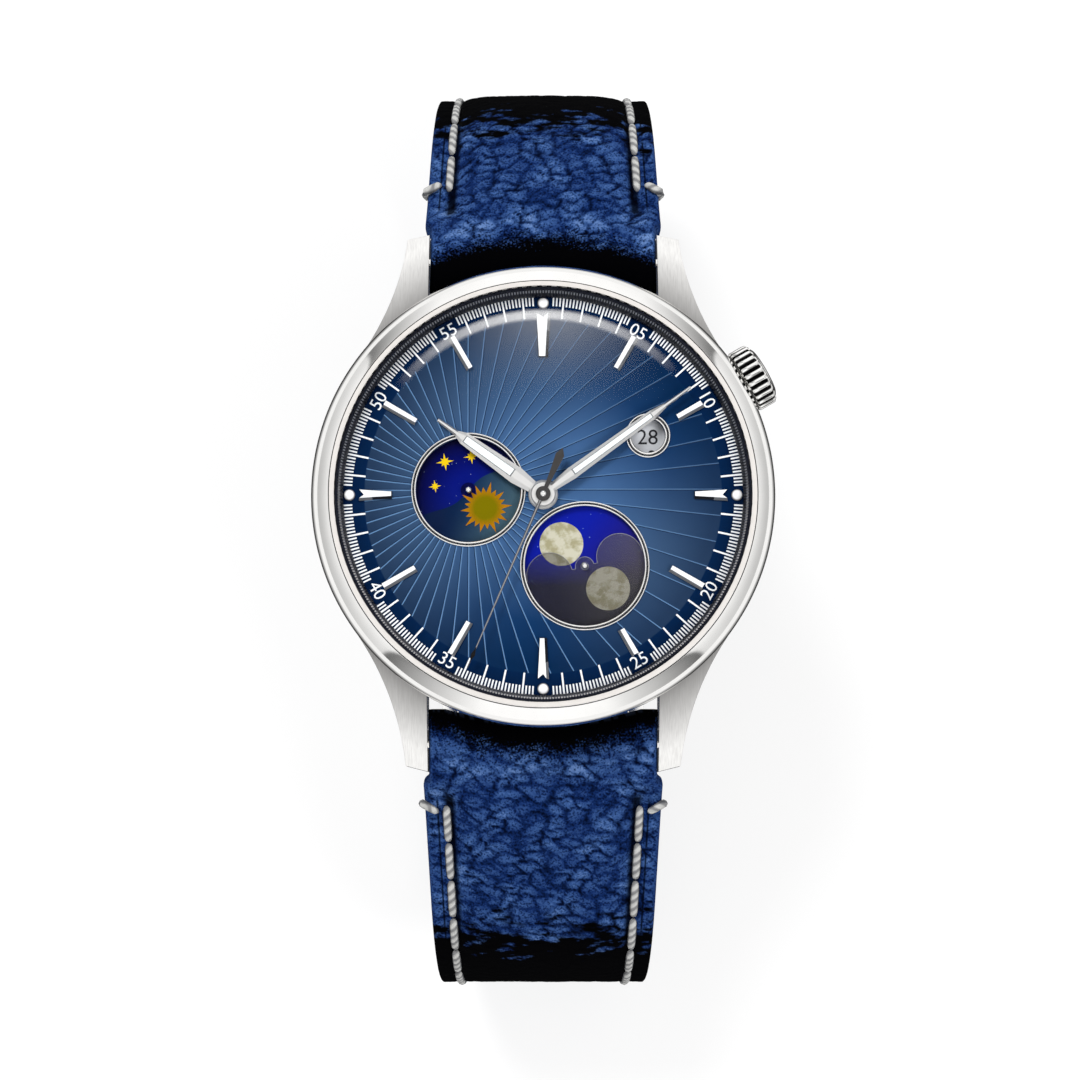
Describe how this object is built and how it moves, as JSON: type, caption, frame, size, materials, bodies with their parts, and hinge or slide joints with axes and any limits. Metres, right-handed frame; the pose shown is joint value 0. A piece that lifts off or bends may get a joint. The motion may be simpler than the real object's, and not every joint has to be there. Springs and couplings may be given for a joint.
{
  "type": "automatic watch",
  "caption": "Round steel automatic wristwatch with day-night, moon and date displays, a fluted crown and a padded leather strap buckled in a loop.",
  "frame": {"origin": "on the resting plane, in the middle of the fixed keeper's outer face, straight under the middle of the dial", "axes": "+Z out of the dial, +Y to 12 o'clock, +X to 3 o'clock"},
  "size_m": [0.0442, 0.0918, 0.0472],
  "materials": {
    "case_steel": "brushed and polished stainless steel",
    "polished_steel": "mirror-polished stainless steel",
    "crystal": "domed clear crystal",
    "gasket": "translucent sealing ring",
    "flange": "dark blue fluted ring",
    "dial": "blue sunburst lacquer",
    "markers": "polished and white",
    "mask": "smoked film",
    "holder": "moulded",
    "plate": "plated and grained brass",
    "bridge": "rhodium-plated brass with a striped finish",
    "wheel": "gilt brass",
    "movement_steel": "hardened steel",
    "ruby": "red jewel",
    "blued_steel": "heat-blued steel",
    "moon_disc": "night sky with two moons",
    "day_night_disc": "night sky and day sky with a sun",
    "date_ring": "pale grey with dark figures",
    "seconds_hand": "dark grey",
    "strap": "blue grained leather with white stitches"
  },
  "bodies": {
    "case": {"case_middle": "case_steel", "bezel": "polished_steel", "crystal": "crystal", "gaskets": "gasket", "flange_ring": "flange", "dial": "dial", "hour_markers": "markers", "marker_pearls": "markers", "sun_window_ring": "polished_steel", "moon_window_ring": "polished_steel", "date_window_ring": "polished_steel", "moon_mask": "mask", "case_back": "case_steel", "case_back_crystal": "crystal", "crown_tube": "polished_steel", "movement_holder": "holder", "mainplate": "plate", "train_bridge": "bridge", "barrel_bridge": "bridge", "balance_cock": "bridge", "pallet_cock": "bridge", "jewels": "ruby", "bridge_screws": "blued_steel", "casing_clamps": "movement_steel", "rotor_screw": "blued_steel", "strap_short": "strap", "strap_long": "strap", "spring_bars": "movement_steel", "buckle_frame": "polished_steel", "buckle_tang": "polished_steel", "buckle_pin": "movement_steel", "keeper_fixed": "strap"},
    "seconds": {"fourth_wheel": "wheel", "seconds_hand": "seconds_hand"},
    "third": {"third_wheel": "wheel"},
    "second": {"second_wheel": "wheel"},
    "barrel": {"barrel": "wheel", "mainspring": "movement_steel"},
    "escape": {"escape_wheel": "movement_steel"},
    "pallets": {"pallet_fork": "movement_steel"},
    "balance": {"balance_wheel": "wheel", "hairspring": "blued_steel"},
    "minutes": {"cannon_pinion": "movement_steel", "minute_hand": "markers"},
    "minute_wheel": {"minute_wheel": "wheel"},
    "driving_pinion": {"driving_pinion": "movement_steel"},
    "setting_wheel": {"setting_wheel": "wheel"},
    "hours": {"hour_wheel": "wheel", "hour_hand": "markers"},
    "day_night": {"day_night_disc": "day_night_disc"},
    "moon": {"moon_disc": "moon_disc"},
    "date": {"date_ring": "date_ring"},
    "rotor": {"rotor": "bridge"},
    "reverser": {"reverser_wheel": "movement_steel"},
    "reduction": {"reduction_wheel": "wheel"},
    "ratchet": {"ratchet_wheel": "movement_steel"},
    "clutch": {"sliding_pinion": "movement_steel"},
    "crown": {"crown": "polished_steel", "winding_stem": "movement_steel"},
    "keeper": {"keeper_free": "strap"}
  },
  "joints": [
    {"name": "seconds_turn", "type": "hinge", "parent": "case", "child": "seconds", "pos_m": [0, 0, 0.04], "axis": [0, 0, -1], "continuous": true},
    {"name": "third_turn", "type": "hinge", "parent": "case", "child": "third", "pos_m": [0.00318, 0.00171, 0.0397], "axis": [0, 0, -1], "continuous": true},
    {"name": "second_turn", "type": "hinge", "parent": "case", "child": "second", "pos_m": [0.00032, 0.00519, 0.0399], "axis": [0, 0, -1], "continuous": true},
    {"name": "barrel_turn", "type": "hinge", "parent": "case", "child": "barrel", "pos_m": [-0.00537, 0.00433, 0.039], "axis": [0, 0, -1], "continuous": true},
    {"name": "escape_turn", "type": "hinge", "parent": "case", "child": "escape", "pos_m": [0.00254, -0.00243, 0.04], "axis": [0, 0, -1], "continuous": true},
    {"name": "pallet_rock", "type": "hinge", "parent": "case", "child": "pallets", "pos_m": [0.00474, -0.00352, 0.0394], "axis": [0, 0, 1], "range_deg": [-5, 5]},
    {"name": "balance_swing", "type": "hinge", "parent": "case", "child": "balance", "pos_m": [0.00682, -0.00455, 0.0389], "axis": [0, 0, 1], "range_deg": [-270, 270], "stiffness_Nm_per_rad": 0.00000005},
    {"name": "minute_turn", "type": "hinge", "parent": "case", "child": "minutes", "pos_m": [0, 0, 0.0417], "axis": [0, 0, -1], "continuous": true},
    {"name": "minute_wheel_turn", "type": "hinge", "parent": "case", "child": "minute_wheel", "pos_m": [0.00089, 0.00255, 0.0417], "axis": [0, 0, -1], "continuous": true},
    {"name": "driving_pinion_turn", "type": "hinge", "parent": "case", "child": "driving_pinion", "pos_m": [0.00032, 0.00519, 0.0417], "axis": [0, 0, -1], "continuous": true},
    {"name": "setting_wheel_turn", "type": "hinge", "parent": "case", "child": "setting_wheel", "pos_m": [0.00398, 0.0023, 0.0417], "axis": [0, 0, -1], "continuous": true},
    {"name": "hour_turn", "type": "hinge", "parent": "case", "child": "hours", "pos_m": [0, 0, 0.042], "axis": [0, 0, -1], "continuous": true},
    {"name": "day_night_turn", "type": "hinge", "parent": "case", "child": "day_night", "pos_m": [-0.00705, 0.00051, 0.0428], "axis": [0, 0, -1], "continuous": true},
    {"name": "moon_turn", "type": "hinge", "parent": "case", "child": "moon", "pos_m": [0.00392, -0.00668, 0.0428], "axis": [0, 0, -1], "continuous": true},
    {"name": "date_turn", "type": "hinge", "parent": "case", "child": "date", "pos_m": [0, 0, 0.0423], "axis": [0, 0, -1], "continuous": true},
    {"name": "rotor_turn", "type": "hinge", "parent": "case", "child": "rotor", "pos_m": [0, 0, 0.0363], "axis": [0, 0, -1], "continuous": true},
    {"name": "reverser_turn", "type": "hinge", "parent": "case", "child": "reverser", "pos_m": [-0.00329, 0.00029, 0.0367], "axis": [0, 0, -1], "continuous": true},
    {"name": "reduction_turn", "type": "hinge", "parent": "case", "child": "reduction", "pos_m": [-0.00576, 0.00095, 0.037], "axis": [0, 0, -1], "continuous": true},
    {"name": "ratchet_turn", "type": "hinge", "parent": "case", "child": "ratchet", "pos_m": [-0.00537, 0.00433, 0.0372], "axis": [0, 0, -1], "continuous": true},
    {"name": "crown_turn", "type": "hinge", "parent": "case", "child": "clutch", "pos_m": [0.00606, 0.0035, 0.04089], "axis": [0.866, 0.5, 0], "continuous": true},
    {"name": "crown_pull", "type": "slide", "parent": "clutch", "child": "crown", "axis": [0.866, 0.5, 0], "range_m": [0, 0.0016]},
    {"name": "keeper_slide", "type": "slide", "parent": "case", "child": "keeper", "axis": [0, 1, 0], "range_m": [-0.004, 0.008]}
  ],
  "couplings": [
    {"joint": "third_turn", "follows": "seconds_turn", "ratio": -0.13333},
    {"joint": "second_turn", "follows": "seconds_turn", "ratio": 0.016667},
    {"joint": "barrel_turn", "follows": "seconds_turn", "ratio": -0.002381},
    {"joint": "escape_turn", "follows": "seconds_turn", "ratio": -10},
    {"joint": "minute_wheel_turn", "follows": "minute_turn", "ratio": -0.33333},
    {"joint": "driving_pinion_turn", "follows": "minute_turn", "ratio": 1},
    {"joint": "setting_wheel_turn", "follows": "minute_turn", "ratio": 0.625},
    {"joint": "hour_turn", "follows": "minute_turn", "ratio": 0.083333},
    {"joint": "day_night_turn", "follows": "minute_turn", "ratio": -0.041667},
    {"joint": "moon_turn", "follows": "minute_turn", "ratio": -0.00070621},
    {"joint": "date_turn", "follows": "minute_turn", "ratio": -0.0013441},
    {"joint": "reverser_turn", "follows": "rotor_turn", "ratio": -0.66667},
    {"joint": "reduction_turn", "follows": "rotor_turn", "ratio": 0.095238},
    {"joint": "ratchet_turn", "follows": "rotor_turn", "ratio": -0.012698}
  ]
}
